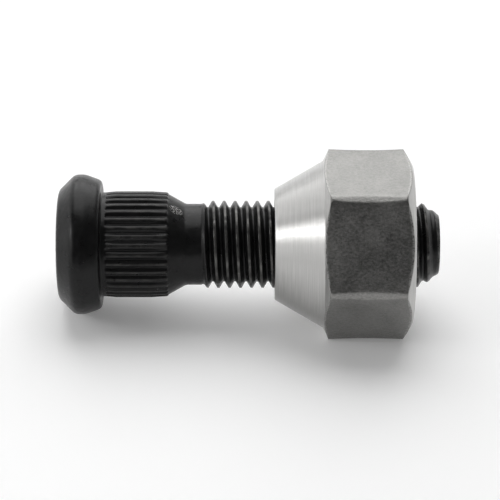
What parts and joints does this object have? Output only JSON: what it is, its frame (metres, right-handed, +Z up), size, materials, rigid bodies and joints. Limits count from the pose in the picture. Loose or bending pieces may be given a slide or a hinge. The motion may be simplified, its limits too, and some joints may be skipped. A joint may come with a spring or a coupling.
{
  "type": "wheel stud with nut",
  "caption": "Press-in car wheel stud with a serrated shoulder and round head, with an open-ended cone-seat hexagon nut screwed on its thread.",
  "frame": {"origin": "on the stud's axis, in the plane of the bearing face under its head", "axes": "+Z up; +X from the head towards the nut, level, with the stud's axis rising 3.2 degrees above it as the pair lies at rest on the head's rim and one flat of the nut"},
  "size_m": [0.0521, 0.0258, 0.0233],
  "materials": {
    "black_steel": "black oxide, semi-gloss",
    "bright_steel": "bright turned steel, satin flats"
  },
  "bodies": {
    "stud": {"wheel_stud": "black_steel"},
    "nut": {"wheel_nut": "bright_steel"}
  },
  "joints": [
    {"name": "nut_travel", "type": "slide", "parent": "stud", "child": "nut", "axis": [0.9985, 0, 0.0553], "range_m": [-0.009, 0.0195]}
  ]
}
